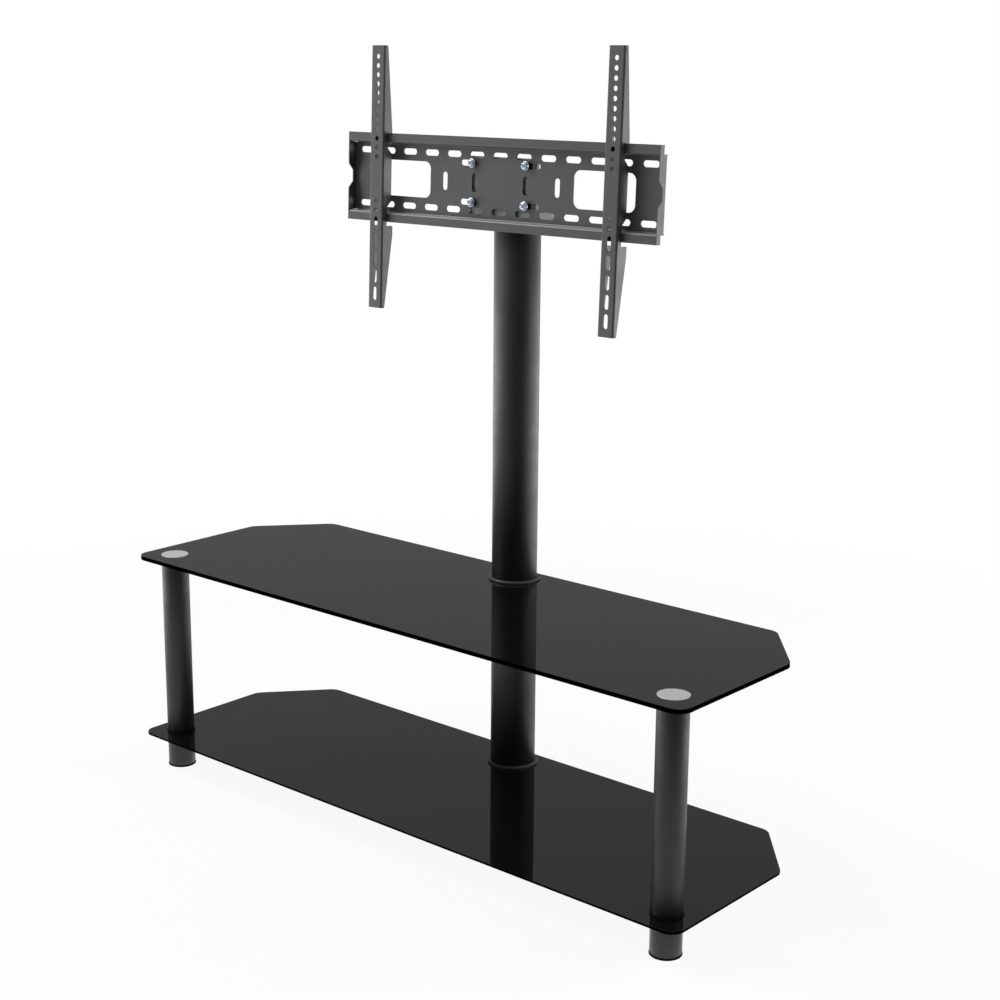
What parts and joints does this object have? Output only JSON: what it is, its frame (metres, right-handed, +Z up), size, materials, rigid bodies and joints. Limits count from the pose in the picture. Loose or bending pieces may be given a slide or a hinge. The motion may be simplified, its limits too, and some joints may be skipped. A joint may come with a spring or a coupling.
{
  "type": "television floor stand",
  "caption": "Floor stand for a television: two black glass shelves on tubular legs and a rear column, with a tilting, swivelling head, a slotted rail and two hook-on arms.",
  "frame": {"origin": "on the floor under the middle of the glass shelves", "axes": "+X to the right seen from the front, +Y towards the column at the back, +Z up"},
  "size_m": [1.338, 0.441, 1.4397],
  "materials": {
    "black_glass": "polished, opaque black tempered glass",
    "tube_paint": "satin black powder coat",
    "head_paint": "fine-textured satin dark grey powder coat",
    "cap_metal": "fine brushed silver",
    "zinc_steel": "bright bluish zinc plate",
    "plain_steel": "turned steel",
    "black_rubber": "matt black",
    "nylon": "natural nylon"
  },
  "bodies": {
    "stand": {"upper_glass": "black_glass", "lower_glass": "black_glass", "left_leg_cap": "cap_metal", "right_leg_cap": "cap_metal", "left_leg_tube": "tube_paint", "right_leg_tube": "tube_paint", "left_leg_rod": "plain_steel", "right_leg_rod": "plain_steel", "left_leg_top_plug": "plain_steel", "right_leg_top_plug": "plain_steel", "left_leg_bottom_plug": "plain_steel", "right_leg_bottom_plug": "plain_steel", "left_leg_seal": "black_rubber", "right_leg_seal": "black_rubber", "left_leg_ring": "black_rubber", "right_leg_ring": "black_rubber", "left_foot_seal": "black_rubber", "right_foot_seal": "black_rubber", "left_foot_tube": "tube_paint", "right_foot_tube": "tube_paint", "left_foot_plug": "plain_steel", "right_foot_plug": "plain_steel", "left_foot_pad": "black_rubber", "right_foot_pad": "black_rubber", "column_tube": "tube_paint", "column_bay_tube": "tube_paint", "column_foot_tube": "tube_paint", "upper_collar": "tube_paint", "lower_collar": "tube_paint", "column_seal": "black_rubber", "column_foot_seal": "black_rubber", "column_rod": "plain_steel", "column_tube_plug": "plain_steel", "bay_tube_top_plug": "plain_steel", "bay_tube_bottom_plug": "plain_steel", "column_foot_plug": "plain_steel", "column_foot_pad": "black_rubber", "column_cap": "plain_steel", "swivel_washer": "nylon"},
    "yoke": {"swivel_yoke": "head_paint", "swivel_bolt": "zinc_steel", "swivel_nut": "zinc_steel", "tilt_bolt": "zinc_steel", "tilt_nut": "zinc_steel"},
    "head": {"head_plate": "head_paint", "mount_rail": "head_paint", "upper_left_screw": "zinc_steel", "upper_right_screw": "zinc_steel", "lower_left_screw": "zinc_steel", "lower_right_screw": "zinc_steel", "screw_sleeves": "black_rubber", "rail_spacers": "zinc_steel", "screw_nuts": "zinc_steel"},
    "left_arm": {"left_arm": "head_paint"},
    "right_arm": {"right_arm": "head_paint"}
  },
  "joints": [
    {"name": "head_swivel", "type": "hinge", "parent": "stand", "child": "yoke", "pos_m": [0, 0.1655, 1.12], "axis": [0, 0, 1], "range_deg": [-30, 30]},
    {"name": "head_tilt", "type": "hinge", "parent": "yoke", "child": "head", "pos_m": [0, 0.1655, 1.176], "axis": [1, 0, 0], "range_deg": [-3, 10]},
    {"name": "left_arm_slide", "type": "slide", "parent": "head", "child": "left_arm", "axis": [1, 0, 0], "range_m": [-0.066, 0.18]},
    {"name": "right_arm_slide", "type": "slide", "parent": "head", "child": "right_arm", "axis": [1, 0, 0], "range_m": [-0.18, 0.069]}
  ]
}
